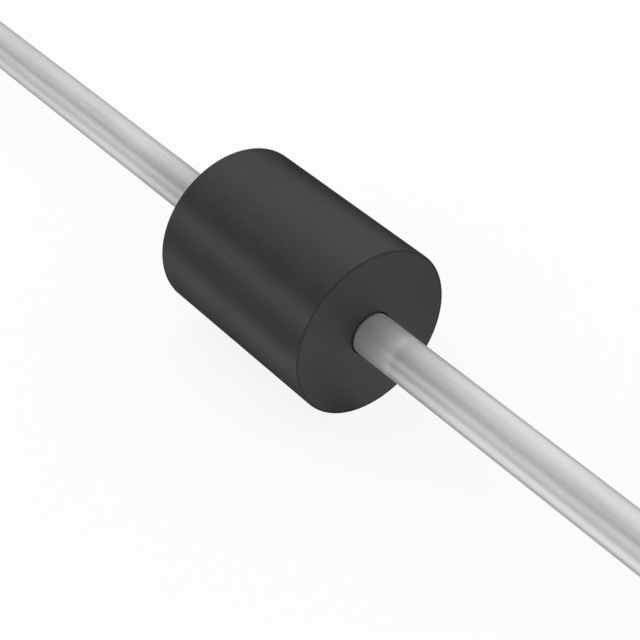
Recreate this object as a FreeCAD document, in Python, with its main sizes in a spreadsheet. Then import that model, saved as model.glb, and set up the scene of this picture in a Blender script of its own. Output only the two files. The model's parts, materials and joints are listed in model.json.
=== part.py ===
import FreeCAD, Part

import enum
import math
import os

import Sketcher

# Axial-lead transient suppressor diode, bidirectional, lying on its side.
# The frame has +X along the leads, +Z up, and its origin at the middle of the case.
# From the middle outwards: a solder joint, a chip each side of it with its back to the middle, a solder
# joint on each chip's mesa, and the nail head of each lead. A silicone bead seals the edges of that stack
# and laps over the rims of both heads. The case is one epoxy moulding, cast round the bead and the leads.

# Each row is the name of a size, its value in mm or degrees, and what it measures.
SIZES = [
    ("CaseDiameter", 4.0, "moulded case, across"),
    ("CaseLength", 4.98, "moulded case, end face to end face"),
    ("RimRadius", 0.03, "rounding of the rim of each end face"),
    ("MouthBevel", 0.03, "bevel of the end face round each lead"),
    ("LeadDiameter", 1.0, "round copper wire of the leads"),
    ("LeadLength", 25.4, "free wire, end face to cut end"),
    ("EndBevel", 0.07, "bevel left by the shears at each cut end"),
    ("HeadDiameter", 2.3, "nail head upset on the inner end of each lead"),
    ("HeadThickness", 0.35, "nail head, along the lead"),
    ("NeckRadius", 0.18, "fillet between a nail head and its wire"),
    ("AnchorBacking", 0.285, "round wire between the neck and the anchor pressed into each lead"),
    ("AnchorRunout", 0.3, "slope at each end of the anchor, back to round wire"),
    ("AnchorCover", 0.12, "round wire between the anchor and the end face"),
    ("AnchorDepth", 0.19, "how far each flat of the anchor is pressed into the wire"),
    ("AnchorSpread", 0.16, "how far the pressed wire spreads past its round, each side"),
    ("ChipSide", 1.8, "square silicon chip, edge to edge"),
    ("ChipThickness", 0.25, "chip with its mesa"),
    ("MesaHeight", 0.08, "mesa standing on the sawn part of the chip"),
    ("MoatWidth", 0.14, "etched step between the sawn edge and the foot of the mesa"),
    ("MesaSlope", 40.0, "lean of the mesa's etched walls, in degrees"),
    ("MesaCorner", 0.3, "corner radius at the foot of the mesa"),
    ("SolderThickness", 0.06, "each of the three solder joints"),
    ("SolderSpread", 50.0, "lean of the outer joints' edges, in degrees"),
    ("SolderInset", 0.06, "chip edge left bare round the middle joint"),
    ("SolderCorner", 0.2, "corner radius of the middle joint"),
    ("CoatingCover", 0.12, "silicone over the chip's corners or the heads, whichever reach further"),
    ("CoatingCrown", 0.1, "rise of the bead from its ends to its middle"),
    ("CoatingLap", 0.16, "reach of the bead over the rim of each head"),
]

SHEET = "Sizes"
NODES_FOLDER = "parts"

# Lengths that several pieces share, worked out from the sizes.
HALF_STACK = "(Sizes.ChipThickness + 1.5 * Sizes.SolderThickness)"
MESA_FOOT = "(Sizes.ChipSide - 2 * Sizes.MoatWidth)"
MESA_LEAN = "(Sizes.MesaHeight * tan(Sizes.MesaSlope))"
MESA_TOP = f"({MESA_FOOT} - 2 * {MESA_LEAN})"
MESA_TOP_CORNER = f"(Sizes.MesaCorner - {MESA_LEAN})"
BEAD_HALF_LENGTH = f"({HALF_STACK} + Sizes.CoatingLap)"
BEAD_RADIUS = "(max(Sizes.ChipSide * sqrt(2); Sizes.HeadDiameter) / 2 + Sizes.CoatingCover)"

# Two places nearer than this, in mm, are the same place.
SAME_PLACE = 1e-6


class At(enum.IntEnum):
    """How constraints name a sketch's two axes, and the points of an axis or an edge."""

    H_AXIS = -1
    V_AXIS = -2
    START = 1
    END = 2
    CENTRE = 3


ORIGIN_POINT = (At.H_AXIS, At.START)
ORIGIN = FreeCAD.Vector(0, 0, 0)
PLANE_NORMAL = FreeCAD.Vector(0, 0, 1)

doc = FreeCAD.newDocument("SuppressorDiode")


def make_size_sheet():
    """The driving sizes, one row each: name, value, meaning."""
    sheet = doc.addObject("Spreadsheet::Sheet", SHEET)
    for row, (name, value, meaning) in enumerate(SIZES, start=1):
        sheet.set(f"A{row}", name)
        sheet.set(f"B{row}", str(value))
        sheet.set(f"C{row}", meaning)
        sheet.setAlias(f"B{row}", name)
    doc.recompute()
    return sheet


def value_of(expression):
    """What an expression of the sheet's sizes comes to now, in mm. None is nothing."""
    return float(sizes.evalExpression(expression)) if expression else 0.0


def make_body(name):
    body = doc.addObject("PartDesign::Body", name)
    body.Label = name
    return body


def origin_feature(body, role):
    return next(feature for feature in body.Origin.OriginFeatures if feature.Role == role)


def make_sketch(body, name, plane, offset=None):
    """An empty sketch on one of the body's origin planes, moved off it by the expression offset."""
    sketch = body.newObject("Sketcher::SketchObject", name)
    sketch.AttachmentSupport = [(origin_feature(body, plane), "")]
    sketch.MapMode = "FlatFace"
    if offset:
        sketch.setExpression("AttachmentOffset.Base.z", offset)
    return sketch


def set_size(sketch, kind, places, expression):
    """Adds a dimension of the given kind between places, and binds it to an expression."""
    index = sketch.addConstraint(Sketcher.Constraint(kind, *places, value_of(expression)))
    sketch.setExpression(f"Constraints[{index}]", expression)


def add_line(sketch, start, end):
    return sketch.addGeometry(Part.LineSegment(FreeCAD.Vector(*start, 0), FreeCAD.Vector(*end, 0)))


def add_arc(sketch, start, middle, end):
    points = [FreeCAD.Vector(*point, 0) for point in (start, middle, end)]
    return sketch.addGeometry(Part.Arc(*points))


def join_ends(sketch, kind, edges):
    """Joins the end of each edge to the start of the next, all the way round."""
    for edge, following in zip(edges, edges[1:] + edges[:1]):
        sketch.addConstraint(Sketcher.Constraint(kind, edge, At.END, following, At.START))


def place_start(sketch, edge, across, up):
    """Puts a point, or an edge's start, at its distances from the sketch's axes. None puts it on the axis."""
    if across is None and up is None:
        sketch.addConstraint(Sketcher.Constraint("Coincident", edge, At.START, *ORIGIN_POINT))
        return
    for kind, axis, distance in (("DistanceX", At.V_AXIS, across), ("DistanceY", At.H_AXIS, up)):
        if distance is None:
            sketch.addConstraint(Sketcher.Constraint("PointOnObject", edge, At.START, axis))
        else:
            set_size(sketch, kind, (*ORIGIN_POINT, edge, At.START), distance)


def draw_outline(sketch, corners, crown=None):
    """A closed outline, drawn anticlockwise through its corners. Each is two expressions, as place_start
    takes them. The sides are straight, but where crown gives one more such place, the last side but one is
    an arc through it."""
    places = [(value_of(across), value_of(up)) for across, up in corners]
    sides = []
    for index, (start, end) in enumerate(zip(places, places[1:] + places[:1])):
        if crown and index == len(corners) - 2:
            middle = [value_of(distance) for distance in crown]
            sides.append(add_arc(sketch, start, middle, end))
            top = sketch.addGeometry(Part.Point(FreeCAD.Vector(*middle, 0)), True)
            sketch.addConstraint(Sketcher.Constraint("PointOnObject", top, At.START, sides[-1]))
            place_start(sketch, top, *crown)
        else:
            sides.append(add_line(sketch, start, end))
    join_ends(sketch, "Coincident", sides)
    for side, corner in zip(sides, corners):
        place_start(sketch, side, *corner)


def draw_circle(sketch, radius):
    circle = sketch.addGeometry(Part.Circle(ORIGIN, PLANE_NORMAL, value_of(radius)))
    sketch.addConstraint(Sketcher.Constraint("Coincident", circle, At.CENTRE, *ORIGIN_POINT))
    set_size(sketch, "Radius", (circle,), radius)


def draw_square(sketch, side, corner=None):
    """A square about the origin. Where corner gives a radius, its corners are round."""
    half, blend = value_of(side) / 2, value_of(corner)
    reach = half - blend
    right = add_line(sketch, (half, -reach), (half, reach))
    top = add_line(sketch, (reach, half), (-reach, half))
    left = add_line(sketch, (-half, reach), (-half, -reach))
    bottom = add_line(sketch, (-reach, -half), (reach, -half))
    for line in (right, left):
        sketch.addConstraint(Sketcher.Constraint("Vertical", line))
    for line in (top, bottom):
        sketch.addConstraint(Sketcher.Constraint("Horizontal", line))
    if corner:
        arcs = []
        for x, y, turn in ((reach, reach, 0), (-reach, reach, 1), (-reach, -reach, 2), (reach, -reach, 3)):
            circle = Part.Circle(FreeCAD.Vector(x, y, 0), PLANE_NORMAL, blend)
            quarter = (turn * math.pi / 2, (turn + 1) * math.pi / 2)
            arcs.append(sketch.addGeometry(Part.ArcOfCircle(circle, *quarter)))
        join_ends(sketch, "Tangent", [right, arcs[0], top, arcs[1], left, arcs[2], bottom, arcs[3]])
        for arc in arcs[1:]:
            sketch.addConstraint(Sketcher.Constraint("Equal", arcs[0], arc))
        opposite = (arcs[0], At.CENTRE, arcs[2], At.CENTRE)
        set_size(sketch, "Radius", (arcs[0],), corner)
    else:
        join_ends(sketch, "Coincident", [right, top, left, bottom])
        opposite = (right, At.START, left, At.START)
    sketch.addConstraint(Sketcher.Constraint("Symmetric", *opposite, *ORIGIN_POINT))
    sketch.addConstraint(Sketcher.Constraint("Equal", right, top))
    set_size(sketch, "Distance", (left, At.START, right), side)


def add_pad(body, name, sketch, length, both_ways=False, taper=None):
    pad = body.newObject("PartDesign::Pad", name)
    pad.Profile = sketch
    pad.setExpression("Length", length)
    if both_ways:
        pad.SideType = "Symmetric"
    if taper:
        pad.setExpression("TaperAngle", taper)
    return pad


def add_turning(kind, body, name, sketch):
    """A Revolution or a Groove of the sketch, a full turn about its own horizontal axis."""
    turned = body.newObject(f"PartDesign::{kind}", name)
    turned.Profile = sketch
    turned.ReferenceAxis = (sketch, ["H_Axis"])
    turned.Angle = 360.0
    return turned


def add_mirror(body, name, feature, plane):
    mirrored = body.newObject("PartDesign::Mirrored", name)
    mirrored.Originals = [feature]
    mirrored.MirrorPlane = (origin_feature(body, plane), [""])
    body.Tip = mirrored
    return mirrored


def round_edges_at(body, name, feature, radius, places):
    """A fillet, of the size named radius, on the circular edges of feature at the given places. Each
    place is two expressions, a distance along X and the edge's own radius."""
    doc.recompute()
    edges = []
    for index, edge in enumerate(feature.Shape.Edges, start=1):
        if not isinstance(edge.Curve, Part.Circle):
            continue
        for along, reach in places:
            gap = abs(edge.Curve.Center.x - value_of(along)) + abs(edge.Curve.Radius - value_of(reach))
            if gap < SAME_PLACE:
                edges.append(f"Edge{index}")
    fillet = body.newObject("PartDesign::Fillet", name)
    fillet.Base = (feature, edges)
    fillet.Radius = value_of(radius)
    fillet.setExpression("Radius", radius)
    return fillet


def put_on_side(piece, side, distance):
    """Places a piece modelled outwards from its inner face: at distance from the middle, on the right
    (side 1) or turned half round on the left (side -1)."""
    half_turn = 0 if side > 0 else 180
    piece.Placement = FreeCAD.Placement(ORIGIN, FreeCAD.Rotation(PLANE_NORMAL, half_turn))
    piece.setExpression("Placement.Base.x", f"{side} * {distance}")


def make_lead(name, side):
    """One length of wire, from its nail head to its sheared end, with an anchor pressed flat in the part
    that the epoxy holds. The flats are cut into a bulge as wide as the pressed wire."""
    body = make_body(name)
    wire = "Sizes.LeadDiameter / 2"
    head = "Sizes.HeadDiameter / 2"
    anchor = "(Sizes.LeadDiameter / 2 + Sizes.AnchorSpread)"
    flat = "(Sizes.LeadDiameter / 2 - Sizes.AnchorDepth)"
    end_face = f"(Sizes.CaseLength / 2 - {HALF_STACK})"
    cut_end = f"({end_face} + Sizes.LeadLength)"
    slope_start = "(Sizes.HeadThickness + Sizes.NeckRadius + Sizes.AnchorBacking)"
    slope_end = f"({end_face} - Sizes.AnchorCover)"
    anchor_start = f"({slope_start} + Sizes.AnchorRunout)"
    anchor_end = f"({slope_end} - Sizes.AnchorRunout)"

    profile = make_sketch(body, f"{name}_profile", "XY_Plane")
    draw_outline(
        profile,
        [
            (None, None),
            (cut_end, None),
            (cut_end, f"{wire} - Sizes.EndBevel"),
            (f"{cut_end} - Sizes.EndBevel", wire),
            (slope_end, wire),
            (anchor_end, anchor),
            (anchor_start, anchor),
            (slope_start, wire),
            ("Sizes.HeadThickness", wire),
            ("Sizes.HeadThickness", head),
            (None, head),
        ],
    )
    turned = add_turning("Revolution", body, f"{name}_turned", profile)
    round_edges_at(body, f"{name}_neck", turned, "Sizes.NeckRadius", [("Sizes.HeadThickness", wire)])

    pressed = make_sketch(body, f"{name}_flat_outline", "XY_Plane")
    draw_outline(
        pressed,
        [
            (anchor_start, flat),
            (anchor_end, flat),
            (slope_end, anchor),
            (slope_end, head),
            (slope_start, head),
            (slope_start, anchor),
        ],
    )
    cut = body.newObject("PartDesign::Pocket", f"{name}_flat")
    cut.Profile = pressed
    cut.Type = "ThroughAll"
    cut.SideType = "Symmetric"
    add_mirror(body, f"{name}_flats", cut, "XZ_Plane")
    put_on_side(body, side, HALF_STACK)
    return body


def make_chip(name, side):
    """A sawn square of silicon with an etched mesa on its outer face."""
    body = make_body(name)
    sawn = make_sketch(body, f"{name}_outline", "YZ_Plane")
    draw_square(sawn, "Sizes.ChipSide")
    add_pad(body, f"{name}_sawn", sawn, "Sizes.ChipThickness - Sizes.MesaHeight")
    foot = make_sketch(
        body, f"{name}_mesa_foot", "YZ_Plane", "Sizes.ChipThickness - Sizes.MesaHeight"
    )
    draw_square(foot, MESA_FOOT, "Sizes.MesaCorner")
    add_pad(body, f"{name}_mesa", foot, "Sizes.MesaHeight", taper="-Sizes.MesaSlope")
    put_on_side(body, side, "Sizes.SolderThickness / 2")
    return body


def make_outer_solder(name, side):
    """The joint that wets the whole top of a mesa and spreads out over the nail head."""
    body = make_body(name)
    outline = make_sketch(body, f"{name}_outline", "YZ_Plane")
    draw_square(outline, MESA_TOP, MESA_TOP_CORNER)
    add_pad(body, f"{name}_joint", outline, "Sizes.SolderThickness", taper="Sizes.SolderSpread")
    put_on_side(body, side, "(Sizes.ChipThickness + Sizes.SolderThickness / 2)")
    return body


def make_middle_solder(name):
    """The joint between the backs of the two chips."""
    body = make_body(name)
    outline = make_sketch(body, f"{name}_outline", "YZ_Plane")
    draw_square(outline, "Sizes.ChipSide - 2 * Sizes.SolderInset", "Sizes.SolderCorner")
    add_pad(body, f"{name}_joint", outline, "Sizes.SolderThickness", both_ways=True)
    return body


def make_bead_blank(name):
    """The whole crowned barrel that the silicone bead fills, before the stack inside is taken out."""
    body = make_body(name)
    profile = make_sketch(body, f"{name}_profile", "XY_Plane")
    length, end_radius = f"2 * {BEAD_HALF_LENGTH}", f"{BEAD_RADIUS} - Sizes.CoatingCrown"
    draw_outline(
        profile,
        [(None, None), (length, None), (length, end_radius), (None, end_radius)],
        crown=(BEAD_HALF_LENGTH, BEAD_RADIUS),
    )
    add_turning("Revolution", body, f"{name}_turned", profile)
    body.setExpression("Placement.Base.x", f"-{BEAD_HALF_LENGTH}")
    return body


def make_case_blank(name):
    """The outside of the moulding: a round block with broken rims, and a countersink where each lead comes
    out, of which only the bevel outside the wire is left once the lead is taken out."""
    body = make_body(name)
    outside = "Sizes.CaseDiameter / 2"
    end_face = "Sizes.CaseLength / 2"
    mouth_radius = "(Sizes.LeadDiameter / 2 + Sizes.MouthBevel)"

    outline = make_sketch(body, f"{name}_outline", "YZ_Plane")
    draw_circle(outline, outside)
    block = add_pad(body, f"{name}_block", outline, "Sizes.CaseLength", both_ways=True)
    rims = [(end_face, outside), (f"-{end_face}", outside)]
    round_edges_at(body, f"{name}_rims", block, "Sizes.RimRadius", rims)

    mouth = make_sketch(body, f"{name}_mouth_profile", "XY_Plane")
    draw_outline(mouth, [(f"{end_face} - {mouth_radius}", None), (end_face, None), (end_face, mouth_radius)])
    bevel = add_turning("Groove", body, f"{name}_mouth", mouth)
    add_mirror(body, f"{name}_mouths", bevel, "YZ_Plane")
    return body


def make_difference(name, base, tools):
    """What is left of base once the tools are taken out of it."""
    fused = doc.addObject("Part::MultiFuse", f"{name}_filling")
    fused.Shapes = tools
    piece = doc.addObject("Part::Cut", name)
    piece.Label = name
    piece.Base = base
    piece.Tool = fused
    return piece


def check_document(pieces):
    """Stops if an object failed, a sketch is loose, a cut took nothing away or a piece isn't one solid."""
    for thing in doc.Objects:
        if {"Invalid", "Error"} & set(thing.State):
            raise RuntimeError(f"{thing.Name} failed: {thing.State}")
        if thing.TypeId == "Sketcher::SketchObject" and not thing.FullyConstrained:
            raise RuntimeError(f"{thing.Name} isn't fully constrained")
        if thing.TypeId in ("PartDesign::Pocket", "PartDesign::Groove", "PartDesign::Mirrored"):
            if thing.Shape.Volume > thing.BaseFeature.Shape.Volume - SAME_PLACE:
                raise RuntimeError(f"{thing.Name} cut nothing")
    for piece in pieces:
        if piece.Shape.isNull() or not piece.Shape.isValid() or len(piece.Shape.Solids) != 1:
            raise RuntimeError(f"{piece.Label} isn't one valid solid")


sizes = make_size_sheet()
leads = [make_lead("left_lead", -1), make_lead("right_lead", 1)]
chips = [make_chip("left_chip", -1), make_chip("right_chip", 1)]
solders = [
    make_outer_solder("left_solder", -1),
    make_middle_solder("middle_solder"),
    make_outer_solder("right_solder", 1),
]
bead_blank = make_bead_blank("bead_blank")
case_blank = make_case_blank("case_blank")
junction_coating = make_difference("junction_coating", bead_blank, leads + chips + solders)
case = make_difference("case", case_blank, leads + [bead_blank])
doc.recompute()

pieces = leads + chips + solders + [junction_coating, case]
check_document(pieces)
os.makedirs(NODES_FOLDER, exist_ok=True)
for piece in pieces:
    piece.Shape.exportStep(os.path.join(NODES_FOLDER, f"{piece.Label}.step"))
    print(f"{piece.Label}: {len(piece.Shape.Solids)} solid, {piece.Shape.Volume:.4f} mm3")
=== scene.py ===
import json
import math

import bmesh
import bpy
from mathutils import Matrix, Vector


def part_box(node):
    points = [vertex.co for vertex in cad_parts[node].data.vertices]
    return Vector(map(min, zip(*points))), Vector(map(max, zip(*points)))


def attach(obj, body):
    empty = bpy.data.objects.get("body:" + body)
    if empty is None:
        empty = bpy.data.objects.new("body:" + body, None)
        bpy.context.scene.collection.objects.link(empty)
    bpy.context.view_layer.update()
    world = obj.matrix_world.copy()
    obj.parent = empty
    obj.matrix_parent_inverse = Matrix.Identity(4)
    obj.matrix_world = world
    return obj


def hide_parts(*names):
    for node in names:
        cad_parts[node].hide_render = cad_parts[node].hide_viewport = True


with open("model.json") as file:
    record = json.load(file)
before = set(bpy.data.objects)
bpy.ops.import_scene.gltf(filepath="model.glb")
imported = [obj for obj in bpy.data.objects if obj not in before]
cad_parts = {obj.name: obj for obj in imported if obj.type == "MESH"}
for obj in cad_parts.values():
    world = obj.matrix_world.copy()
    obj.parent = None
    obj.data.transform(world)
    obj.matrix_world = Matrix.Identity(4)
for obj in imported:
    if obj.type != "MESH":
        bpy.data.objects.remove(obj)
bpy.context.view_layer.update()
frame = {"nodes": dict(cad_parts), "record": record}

# The looks of an axial-lead transient suppressor diode: a round black epoxy case, two tinned wires, and the
# soldered stack of chips inside. Lengths in this file are in mm, and are made metres where a mesh is made.
MM = 0.001

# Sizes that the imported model's boxes don't give.
RIM_RADIUS = 0.03
MOUTH_BEVEL = 0.03
END_BEVEL = 0.07
HEAD_THICKNESS = 0.35
NECK_RADIUS = 0.18
ANCHOR_BACKING = 0.285
ANCHOR_RUNOUT = 0.3
ANCHOR_COVER = 0.12
ANCHOR_DEPTH = 0.19
ANCHOR_SPREAD = 0.16
BEAD_CROWN = 0.1

# Sizes that they do give.
case_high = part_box("case")[1] / MM
lead_low, lead_high = (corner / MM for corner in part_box("right_lead"))
bead_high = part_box("junction_coating")[1] / MM
END_FACE, CASE_RADIUS = case_high.x, case_high.z
HEAD_FACE, CUT_END, HEAD_RADIUS = lead_low.x, lead_high.x, lead_high.z
BEAD_END, BEAD_RADIUS = bead_high.x, bead_high.z
WIRE_RADIUS = frame["record"]["mounts"][0]["dims"]["r_mm"]

HEAD_BACK = HEAD_FACE + HEAD_THICKNESS
SLOPE_START = HEAD_BACK + NECK_RADIUS + ANCHOR_BACKING
SLOPE_END = END_FACE - ANCHOR_COVER
ANCHOR_START = SLOPE_START + ANCHOR_RUNOUT
ANCHOR_END = SLOPE_END - ANCHOR_RUNOUT
ANCHOR_RADIUS = WIRE_RADIUS + ANCHOR_SPREAD
ANCHOR_FLAT = WIRE_RADIUS - ANCHOR_DEPTH
# Where each slope of a flat runs out, as a share of the slope: the flat rises and the round falls.
FLAT_RUNOUT = (ANCHOR_DEPTH + ANCHOR_SPREAD) / (ANCHOR_DEPTH + 2 * ANCHOR_SPREAD)
TABLE_TOP = -CASE_RADIUS

# How finely the pieces are made.
CASE_TURN_STEPS = 144
WIRE_TURN_STEPS = 72
RIM_SEGMENTS = 6
NECK_SEGMENTS = 8
CROWN_SHARES = (0.75, 0.5, 0.25)  # of half the bead: where the hollow in the case follows its crown
CLOSE = 1e-4  # lengths that differ by less are the same
SHARP_ABOVE = 35  # degrees that a sharp edge turns by, at least
WIDEST_FACE_WEIGHT = 100  # where faces meet smoothly, the shading follows the widest

# The photograph's camera, fitted to the outline of the case and the leads.
CAMERA_AZIMUTH = 52.171
CAMERA_ELEVATION = 38.06
CAMERA_PLACE = (24.8919, -18.7669, 23.2241)
CAMERA_LENS = 98.864
CAMERA_NEAREST = 1  # that it sees
CAMERA_FURTHEST = 10000

ROOT = "root"


# Shapes


def anchor_slope(start, end, shares):
    """Places along one slope of the anchor, as distance along the wire and radius."""
    return [(start + (end - start) * share, ANCHOR_RADIUS - ANCHOR_SPREAD * share) for share in shares]


def wire_inside_case():
    """The outline of a lead from the back of its nail head to the end of its anchor."""
    shares = [0, FLAT_RUNOUT / 3, FLAT_RUNOUT * 2 / 3, FLAT_RUNOUT, 1]
    rising = anchor_slope(ANCHOR_START, SLOPE_START, shares)[::-1]
    falling = anchor_slope(ANCHOR_END, SLOPE_END, shares)
    return [(HEAD_BACK, HEAD_RADIUS), (HEAD_BACK, WIRE_RADIUS), *rising, *falling]


def turn_outline(outline, steps, closed):
    """A bmesh of an outline turned about the X axis. Each place is a distance along X and a radius."""
    shape = bmesh.new()
    corners = [shape.verts.new(Vector((along, 0, radius)) * MM) for along, radius in outline]
    sides = [shape.edges.new(pair) for pair in zip(corners, corners[1:])]
    if closed:
        sides.append(shape.edges.new((corners[-1], corners[0])))
    bmesh.ops.spin(
        shape,
        geom=corners + sides,
        cent=(0, 0, 0),
        axis=(1, 0, 0),
        angle=2 * math.pi,
        steps=steps,
        use_merge=True,
    )
    bmesh.ops.remove_doubles(shape, verts=shape.verts, dist=CLOSE * MM)
    bmesh.ops.recalc_face_normals(shape, faces=shape.faces)
    return shape


def radius_at(corner):
    """The distance of a corner from the wires' axis, in mm."""
    return math.hypot(corner.co.y, corner.co.z) / MM


def round_circle(shape, along, radius, blend, segments):
    """Rounds the circular edge at a distance along X and a radius."""
    def on_circle(corner):
        return abs(corner.co.x / MM - along) < CLOSE and abs(radius_at(corner) - radius) < CLOSE

    edges = [edge for edge in shape.edges if all(on_circle(corner) for corner in edge.verts)]
    bmesh.ops.bevel(
        shape,
        geom=edges,
        offset=blend * MM,
        offset_type="OFFSET",
        affect="EDGES",
        segments=segments,
        profile=0.5,
        material=-1,
        clamp_overlap=True,
    )


def press_anchor_flats(shape):
    """Moves what is bulged past the anchor's flats on to them, on both sides."""
    for corner in shape.verts:
        along = abs(corner.co.x) / MM
        if not SLOPE_START < along < SLOPE_END or radius_at(corner) > ANCHOR_RADIUS + CLOSE:
            continue
        past = max(ANCHOR_START - along, along - ANCHOR_END, 0) / ANCHOR_RUNOUT
        flat = (ANCHOR_FLAT + (ANCHOR_DEPTH + ANCHOR_SPREAD) * past) * MM
        corner.co.y = min(max(corner.co.y, -flat), flat)


def finish_piece(shape, name, material):
    """The piece made of a bmesh: an object at the origin that rides on the root, with material and slot."""
    mesh = bpy.data.meshes.new(name)
    shape.to_mesh(mesh)
    shape.free()
    mesh.shade_smooth()
    mesh.set_sharp_from_angle(angle=math.radians(SHARP_ABOVE))
    mesh.materials.append(material)
    piece = bpy.data.objects.new(name, mesh)
    bpy.context.scene.collection.objects.link(piece)
    weighted = piece.modifiers.new("flat faces stay flat", "WEIGHTED_NORMAL")
    weighted.keep_sharp = True
    weighted.weight = WIDEST_FACE_WEIGHT
    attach(piece, ROOT)
    return piece


def make_case(material):
    """The moulding: a block with broken rims, hollow where the bead and the leads sit."""
    crown_radius = (BEAD_END**2 + BEAD_CROWN**2) / (2 * BEAD_CROWN)
    hollow = [(BEAD_END, HEAD_RADIUS), (BEAD_END, BEAD_RADIUS - BEAD_CROWN)]
    for along in (BEAD_END * share for share in CROWN_SHARES):
        hollow.append((along, BEAD_RADIUS - crown_radius + math.sqrt(crown_radius**2 - along**2)))
    right_side = [
        (END_FACE, CASE_RADIUS),
        (END_FACE, WIRE_RADIUS + MOUTH_BEVEL),
        (END_FACE - MOUTH_BEVEL, WIRE_RADIUS),
        *wire_inside_case()[::-1],
        *hollow,
    ]
    left_side = [(-along, radius) for along, radius in right_side[::-1]]
    outline = [*right_side, (0, BEAD_RADIUS), *left_side]
    shape = turn_outline(outline, CASE_TURN_STEPS, closed=True)
    for side in (1, -1):
        round_circle(shape, side * END_FACE, CASE_RADIUS, RIM_RADIUS, RIM_SEGMENTS)
        round_circle(shape, side * HEAD_BACK, WIRE_RADIUS, NECK_RADIUS, NECK_SEGMENTS)
    press_anchor_flats(shape)
    piece = finish_piece(shape, "moulded_case", material)
    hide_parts("case")


def make_lead(side, node, material):
    """A wire with its nail head, pressed anchor and sheared end, on the right (side 1) or left (-1)."""
    outline = [
        (HEAD_FACE, 0),
        (HEAD_FACE, HEAD_RADIUS),
        *wire_inside_case(),
        (CUT_END - END_BEVEL, WIRE_RADIUS),
        (CUT_END, WIRE_RADIUS - END_BEVEL),
        (CUT_END, 0),
    ]
    outline = [(side * along, radius) for along, radius in outline]
    shape = turn_outline(outline, WIRE_TURN_STEPS, closed=False)
    round_circle(shape, side * HEAD_BACK, WIRE_RADIUS, NECK_RADIUS, NECK_SEGMENTS)
    press_anchor_flats(shape)
    piece = finish_piece(shape, f"{node}_wire", material)
    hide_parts(node)


# Finishes

# The case.
GRAIN_DEPTH = 0.005  # of the mould's fine grain
SKIN_SHARE = 0.056  # how much of the surface acts as a shiny skin
SKIN_ON_GRAIN = 0.032  # and how much more of it on the tops of the grain
END_FACE_ROUGHER = 0.24  # how much rougher the skin of the end faces is
FACE_DEPTH = 0.003  # how far back from its plane a face still counts as one
RIM_BAND = 0.06  # how far the dull line at each rim reaches in over the end face
RIM_DEPTH = 0.015  # and back along the side
DULL_RIM = 0.35  # the share of the skin that is gone there
FLECKS_ABOVE = 0.67  # the filler shows where its noise tops this

# The leads.
EXIT_SHADE_REACH = 0.09  # how far the painted shade where each lead leaves the moulding reaches along it
EXIT_SHADE_EDGE = 0.03  # how uneven its end is
SHADE_RING_AT = END_FACE + 1.14  # where the painted shade of the case on each lead steps up, at a faint ring
RING_WIDTH = 0.12  # of that faint ring
RING_EDGE = 0.1  # how uneven the ring is
SHADE_FADE = 2.4  # how far past the ring the painted shade fades out
NEAR_CASE_SHADE = 0.14  # how much painted shade there is up to the ring
PAST_RING_SHADE = 0.48  # and how much more of it just past the ring
NEAR_CASE_MIRROR = 0.87  # how much of the tin acts as a mirror up to the ring
RING_MIRROR = 0.10  # and how much more of it past the ring
SATIN_SHARE = 0.4  # how much of the tin is satin and not bright
SATIN_ROUGHNESS = 0.75
DRAWING_DEPTH = 0.0009  # of the lines from the drawing die
SHEAR_MARKS = 3  # how many times deeper the shears mark the cut ends
COPPER = (0.66, 0.33, 0.20, 1)


class Amount:
    """A number or colour that changes over a surface, used in sums as a plain number is."""

    def __init__(self, finish, socket):
        self.finish = finish
        self.socket = socket

    def _sum(self, operation, first, second):
        return self.finish.add("ShaderNodeMath", {"operation": operation}, {0: first, 1: second})

    def __add__(self, other):
        return self._sum("ADD", self, other)

    def __radd__(self, other):
        return self._sum("ADD", other, self)

    def __rsub__(self, other):
        return self._sum("SUBTRACT", other, self)

    def __mul__(self, other):
        return self._sum("MULTIPLY", self, other)

    def __rmul__(self, other):
        return self._sum("MULTIPLY", other, self)

    def __gt__(self, other):
        return self._sum("GREATER_THAN", self, other)

    def __pow__(self, other):
        return self._sum("POWER", self, other)


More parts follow.
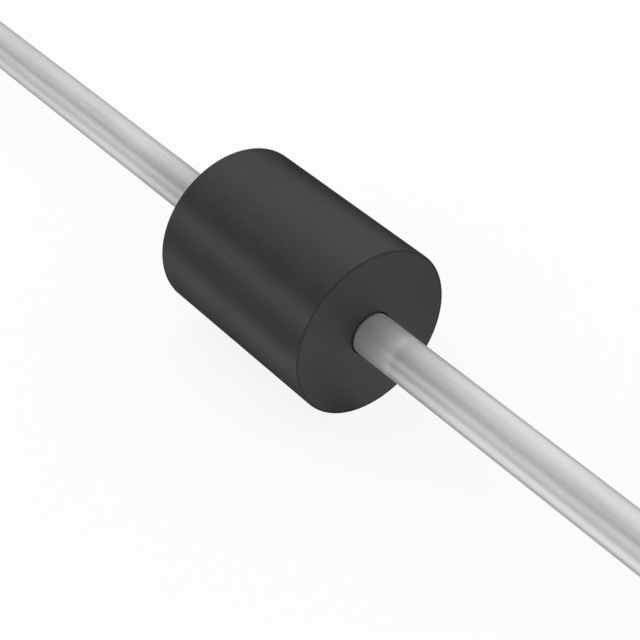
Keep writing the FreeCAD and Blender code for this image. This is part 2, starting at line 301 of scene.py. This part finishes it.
class Finish:
    """A set of shader nodes, of a material or of the world, and the one way to add to it."""

    def __init__(self, owner):
        owner.use_nodes = True
        self.owner = owner
        self.tree = owner.node_tree
        self.tree.nodes.clear()

    def add(self, kind, settings=None, values=None, output=0):
        """Adds a node. Its settings come first, then the values or links of its sockets."""
        node = self.tree.nodes.new(kind)
        for name, setting in (settings or {}).items():
            if name == "stops":
                ramp = node.color_ramp.elements
                while len(ramp) < len(setting):
                    ramp.new(1.0)
                for stop, (place, colour) in zip(ramp, setting):
                    stop.position = place
                    stop.color = colour
            else:
                setattr(node, name, setting)
        for socket, value in (values or {}).items():
            if isinstance(value, Amount):
                self.tree.links.new(value.socket, node.inputs[socket])
            else:
                node.inputs[socket].default_value = value
        return Amount(self, node.outputs[output])

    def place(self, scale=(1, 1, 1)):
        """Object coordinates in mm, drawn out by a scale."""
        coordinates = self.add("ShaderNodeTexCoord", output="Object")
        stretch = tuple(factor / MM for factor in scale)
        return self.add("ShaderNodeMapping", values={"Vector": coordinates, "Scale": stretch})

    def part_of_place(self, output):
        """The X, Y or Z of the place, in mm."""
        return self.add("ShaderNodeSeparateXYZ", values={0: self.place()}, output=output)

    def along(self):
        """The distance along the wires from the middle of the case, in mm."""
        return self.part_of_place("X")

    def off_axis(self):
        """The distance from the wires' axis, in mm."""
        across, up = self.part_of_place("Y"), self.part_of_place("Z")
        return (across * across + up * up) ** 0.5

    def magnitude(self, amount):
        return self.add("ShaderNodeMath", {"operation": "ABSOLUTE"}, {0: amount})

    def noise(self, scale, stretch=(1, 1, 1), detail=2, roughness=0.5):
        """Soft noise from 0 to 1, with about scale lumps to the mm."""
        values = {"Vector": self.place(stretch), "Scale": scale, "Detail": detail, "Roughness": roughness}
        return self.add("ShaderNodeTexNoise", values=values)

    def rise(self, amount, start, end, curve="LINEAR"):
        """Goes from 0 to 1 while an amount goes from start to end."""
        values = {"Value": amount, "From Min": start, "From Max": end}
        return self.add("ShaderNodeMapRange", {"interpolation_type": curve}, values)

    def ramp(self, amount, stops):
        """A colour that follows an amount by the given stops, each a place and a colour."""
        return self.add("ShaderNodeValToRGB", {"stops": stops}, {"Fac": amount})

    def colour(self, share, first, second):
        """A colour that goes from the first to the second as the share goes from 0 to 1."""
        settings = {"data_type": "RGBA"}
        return self.add("ShaderNodeMix", settings, {0: share, 6: first, 7: second}, output=2)

    def bump(self, height, depth):
        """A normal for a surface whose height, from 0 to 1, is depth mm."""
        values = {"Height": height, "Distance": depth * MM, "Strength": 1.0}
        return self.add("ShaderNodeBump", values=values)

    def principled(self, **values):
        """A surface shader whose sockets are named in small letters."""
        sockets = {}
        for name, value in values.items():
            sockets[name.replace("_", " ").title().replace("Ior", "IOR")] = value
        return self.add("ShaderNodeBsdfPrincipled", values=sockets)

    def mix_shaders(self, share, first, second):
        return self.add("ShaderNodeMixShader", values={0: share, 1: first, 2: second})

    def end(self, shader, kind="ShaderNodeOutputMaterial"):
        node = self.tree.nodes.new(kind)
        self.tree.links.new(shader.socket, node.inputs["Surface"])
        return self.owner


def grey(level, blue=0.0):
    """A neutral colour, or a slightly cool one."""
    return (level, level, level * (1 + blue), 1)


def make_epoxy():
    """Black moulding compound: a matte body under a thin satin skin, with the mould's fine grain. The skin
    is duller on the end faces, and dullest just inside their rims."""
    finish = Finish(bpy.data.materials.new("black_moulded_epoxy"))
    grain = finish.noise(18, detail=3, roughness=0.65)
    cloud = finish.noise(1.1, detail=3)
    filler = finish.noise(45, detail=1) > FLECKS_ABOVE
    along = finish.magnitude(finish.along())
    rim = (along > END_FACE - RIM_DEPTH) * (finish.off_axis() > CASE_RADIUS - RIM_BAND)
    end_face = along > END_FACE - FACE_DEPTH
    body = finish.colour(cloud, grey(0.009), grey(0.014))
    body = finish.colour(filler * 0.5, body, grey(0.06))
    normal = finish.bump(grain, GRAIN_DEPTH)
    matte = finish.principled(base_color=body, roughness=0.8, specular_ior_level=0.0, normal=normal)
    skin = finish.principled(
        base_color=grey(0.95),
        metallic=1.0,
        roughness=0.22 + 0.06 * cloud + END_FACE_ROUGHER * end_face,
        specular_tint=grey(0.45),
        normal=normal,
    )
    gloss = (SKIN_SHARE + SKIN_ON_GRAIN * grain) * (1 - DULL_RIM * rim)
    return finish.end(finish.mix_shaders(gloss, matte, skin))


def make_tinned_wire():
    """Tin over drawn copper: part bright and part satin, with faint drawing lines under a soft grain. A
    dark film on the first of it, where it leaves the moulding, is painted shade. The tin is a little matte
    up to a faint ring. Painted shade of the case darkens it a little up to the ring and more past it,
    fading out further along. The cut ends show the copper, with tin that the shears dragged over it."""
    finish = Finish(bpy.data.materials.new("tinned_wire"))
    drawing = finish.noise(9, stretch=(0.04, 1, 1), detail=4, roughness=0.6)
    plating = finish.noise(22, detail=3, roughness=0.6)
    patches = finish.noise(0.8, stretch=(0.5, 1, 1), detail=2)
    dragged = finish.noise(7, stretch=(1, 1, 0.15), detail=3, roughness=0.6)
    along = finish.magnitude(finish.along())

    tin = finish.colour(patches, grey(0.88, 0.015), grey(0.94, -0.015))
    tin = finish.colour(0.6 * finish.rise(drawing, 0.45, 0.75), tin, grey(0.74))
    # Painted shade of the case on each lead: a little up to a faint ring, more just past it, fading out
    # further along.
    ring = SHADE_RING_AT + RING_EDGE / 2
    past_ring = finish.rise(along + RING_EDGE * plating, ring, ring + RING_WIDTH)
    painted_shade = 1 - finish.rise(along, SHADE_RING_AT, SHADE_RING_AT + SHADE_FADE)
    tin = finish.colour(painted_shade * (NEAR_CASE_SHADE + PAST_RING_SHADE * past_ring), tin, grey(0.55))
    # The dark film where each lead leaves the moulding is painted shade.
    past_exit_shade = finish.rise(along + EXIT_SHADE_EDGE * plating, END_FACE, END_FACE + EXIT_SHADE_REACH, "SMOOTHSTEP")
    exit_shaded_tin = finish.colour(past_exit_shade, grey(0.12), tin)
    cut = along > CUT_END - FACE_DEPTH
    bare = cut * (1 - 0.8 * finish.rise(dragged, 0.50, 0.68))
    surface = {
        "base_color": finish.colour(bare, exit_shaded_tin, COPPER),
        "metallic": NEAR_CASE_MIRROR + RING_MIRROR * past_ring,
        "specular_tint": grey(0.3),
        "normal": finish.bump(drawing * 0.8 + plating * 0.2 + dragged * cut * SHEAR_MARKS, DRAWING_DEPTH),
    }
    bright = finish.principled(roughness=0.22 + 0.10 * plating + 0.08 * drawing + 0.12 * cut, **surface)
    satin = finish.principled(roughness=SATIN_ROUGHNESS, **surface)
    return finish.end(finish.mix_shaders(SATIN_SHARE, bright, satin))


def make_solder():
    """Lead-tin solder: dull grey, finely crystalline, with frosty patches."""
    finish = Finish(bpy.data.materials.new("grey_solder"))
    crystals = finish.add(
        "ShaderNodeTexVoronoi", values={"Vector": finish.place(), "Scale": 26}, output="Color"
    )
    frost = finish.noise(6, detail=4, roughness=0.65)
    metal = finish.colour(frost, grey(0.42), grey(0.56))
    surface = finish.principled(
        base_color=finish.colour(0.08, metal, crystals),
        metallic=1.0,
        roughness=0.34 + 0.22 * frost,
        normal=finish.bump(frost, 0.004),
    )
    return finish.end(surface)


def make_silicon():
    """Etched and sawn silicon: dark blue-grey, with the fine parallel marks of the saw."""
    finish = Finish(bpy.data.materials.new("etched_silicon"))
    saw_marks = finish.noise(30, stretch=(1, 0.05, 1), detail=2)
    etch = finish.noise(14, detail=3)
    surface = finish.principled(
        base_color=finish.colour(etch, (0.15, 0.16, 0.19, 1), (0.23, 0.24, 0.28, 1)),
        metallic=0.6,
        roughness=0.2 + 0.18 * saw_marks,
        normal=finish.bump(saw_marks * 0.6 + etch * 0.4, 0.002),
    )
    return finish.end(surface)


def make_silicone():
    """Cured junction coating: a translucent white rubber with small trapped bubbles."""
    finish = Finish(bpy.data.materials.new("junction_silicone"))
    bubbles = finish.add(
        "ShaderNodeTexVoronoi", values={"Vector": finish.place(), "Scale": 7}, output="Distance"
    )
    pits = finish.rise(bubbles, 0, 0.16)
    haze = finish.noise(2.5, detail=3)
    surface = finish.principled(
        base_color=finish.colour(haze, (0.70, 0.70, 0.66, 1), (0.80, 0.80, 0.77, 1)),
        roughness=0.32 + 0.14 * haze,
        specular_ior_level=0.4,
        normal=finish.bump(pits * 0.7 + haze * 0.3, 0.006),
    )
    return finish.end(surface)


def dress_node(node, material):
    """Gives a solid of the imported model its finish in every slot."""
    mesh = frame["nodes"][node].data
    if not mesh.materials:
        mesh.materials.append(material)
    for index in range(len(mesh.materials)):
        mesh.materials[index] = material


# Studio

WHITE = 0.96  # the level at which the room shows to the camera
TABLE_PAINT = 0.92
TABLE_GLOW = 0.88  # the share of the table that glows for the camera
TABLE_GLOW_IN_METAL = 0.6  # and for metal and gloss
TABLE_HALF_SIDE = 3000
ROOM_LIGHT = 0.7  # the level of the light from all round

# The lamp. The level is that of its face, where 1 is white.
LAMP_LEVEL = 1.1
LAMP_LENGTH = 240
LAMP_WIDTH = 280
LAMP_PLACE = (-155, -34, 193)

# What metal and gloss show of the table: a white card under the diode, with a painted shadow of the wires
#  along it, and a grey table further out. Each stop is mm across from the wires' axis, front to back, and a
#  colour.
CARDS_REACH = 8  # the furthest place that a stop can have
CARDS_BELOW = [
    (-5.8, grey(0.45)),
    (-4.6, grey(1.0)),
    (-1.3, grey(1.0)),
    # a painted shadow of the wires, seen only in metal and gloss
    (-0.9, grey(0.45)),
    (-0.4, grey(0.45)),
    (0.0, grey(1.0)),
    (1.6, grey(1.0)),
    (3.2, grey(0.6)),
    (5.8, grey(0.66)),
]

# What metal and gloss show of the room: long cards overhead. Each stop is degrees up from the horizon in
# front, round over the top, and a colour.
CARDS_OVERHEAD = [
    (0, grey(0.54)),
    (5, grey(0.64, 0.02)),
    (12, grey(0.84, 0.06)),
    (21, grey(0.82, 0.06)),
    (28, grey(0.62, 0.02)),
    (36, grey(0.33)),
    (48, grey(0.36)),
    (64, grey(0.52)),
    (90, grey(0.68)),
    (118, grey(0.84)),
    (138, grey(0.86)),
    (152, grey(0.90)),
    (170, grey(0.96)),
    (180, grey(0.86)),
]


def seen_directly(finish):
    """1 for what the camera sees itself, else 0."""
    return finish.add("ShaderNodeLightPath", output="Is Camera Ray")


def seen_in_metal_or_glass(finish):
    """1 for what is mirrored or seen through something, else 0."""
    glossy = finish.add("ShaderNodeLightPath", output="Is Glossy Ray")
    return glossy + finish.add("ShaderNodeLightPath", output="Is Transmission Ray")


def make_table():
    """A white table with a glow that makes it white to the eye and still lets the diode's shadow show."""
    finish = Finish(bpy.data.materials.new("white_table"))
    stops = [(0.5 + 0.5 * place / CARDS_REACH, colour) for place, colour in CARDS_BELOW]
    # Metal and gloss see the cards, with the painted shadow of the wires along them.
    cards = finish.ramp(0.5 + finish.part_of_place("Y") * (0.5 / CARDS_REACH), stops)
    direct, mirrored = seen_directly(finish), seen_in_metal_or_glass(finish)
    paint = finish.colour(mirrored, grey(TABLE_PAINT), cards)
    diffuse = finish.add("ShaderNodeBsdfDiffuse", values={"Color": paint})
    glow_colour = finish.colour(mirrored, grey(1.0), cards)
    glow = finish.add("ShaderNodeEmission", values={"Color": glow_colour, "Strength": 1.0})
    share = TABLE_GLOW * direct + TABLE_GLOW_IN_METAL * mirrored
    material = finish.end(finish.mix_shaders(share, diffuse, glow))
    material.cycles.emission_sampling = "NONE"

    shape = bmesh.new()
    bmesh.ops.create_grid(shape, x_segments=1, y_segments=1, size=TABLE_HALF_SIDE * MM)
    bmesh.ops.translate(shape, verts=shape.verts, vec=(0, 0, TABLE_TOP * MM))
    mesh = bpy.data.meshes.new("table")
    shape.to_mesh(mesh)
    shape.free()
    mesh.materials.append(material)
    table = bpy.data.objects.new("table", mesh)
    bpy.context.scene.collection.objects.link(table)


def make_room():
    """Plain soft light from all round. It is white where it is seen, and metal shows the cards in it."""
    world = bpy.data.worlds.new("studio")
    world.cycles.sampling_method = "NONE"
    bpy.context.scene.world = world
    finish = Finish(world)
    direction = finish.add("ShaderNodeTexCoord", output="Generated")
    ahead = 0 - finish.add("ShaderNodeSeparateXYZ", values={0: direction}, output="Y")
    up = finish.add("ShaderNodeSeparateXYZ", values={0: direction}, output="Z")
    turn = finish.add("ShaderNodeMath", {"operation": "ARCTAN2"}, {0: up, 1: ahead})
    stops = [(degrees / 180, colour) for degrees, colour in CARDS_OVERHEAD]
    cards = finish.ramp(turn * (1 / math.pi), stops)
    room = finish.colour(seen_in_metal_or_glass(finish), grey(ROOM_LIGHT), cards)
    room = finish.colour(seen_directly(finish), room, grey(WHITE))
    finish.end(finish.add("ShaderNodeBackground", values={"Color": room}), "ShaderNodeOutputWorld")


def make_overhead_lamp():
    """A large soft lamp over the diode and to its left, for the soft shadow. Metal shows the cards and not
    the lamp."""
    lamp = bpy.data.lights.new("overhead", "AREA")
    lamp.shape = "RECTANGLE"
    lamp.size, lamp.size_y = LAMP_LENGTH * MM, LAMP_WIDTH * MM
    lamp.energy = LAMP_LEVEL * math.pi * lamp.size * lamp.size_y
    softbox = bpy.data.objects.new("overhead", lamp)
    bpy.context.scene.collection.objects.link(softbox)
    softbox.location = Vector(LAMP_PLACE) * MM
    softbox.rotation_euler = Vector(LAMP_PLACE).to_track_quat("Z", "Y").to_euler()
    softbox.visible_camera = False
    softbox.visible_glossy = False


def make_camera():
    """The photograph's camera."""
    camera = bpy.data.objects.new("camera", bpy.data.cameras.new("camera"))
    bpy.context.scene.collection.objects.link(camera)
    camera.data.lens = CAMERA_LENS
    camera.data.clip_start = CAMERA_NEAREST * MM
    camera.data.clip_end = CAMERA_FURTHEST * MM
    camera.location = Vector(CAMERA_PLACE) * MM
    tilt = math.radians(90 - CAMERA_ELEVATION)
    camera.rotation_euler = (tilt, 0, math.radians(CAMERA_AZIMUTH))
    bpy.context.scene.camera = camera


make_camera()
epoxy = make_epoxy()
tinned_wire = make_tinned_wire()
make_case(epoxy)
make_lead(1, "right_lead", tinned_wire)
make_lead(-1, "left_lead", tinned_wire)

solder = make_solder()
silicon = make_silicon()
for node in ("left_solder", "middle_solder", "right_solder"):
    dress_node(node, solder)
for node in ("left_chip", "right_chip"):
    dress_node(node, silicon)
dress_node("junction_coating", make_silicone())

make_table()
make_room()
make_overhead_lamp()

bpy.context.scene.view_settings.view_transform = "Standard"
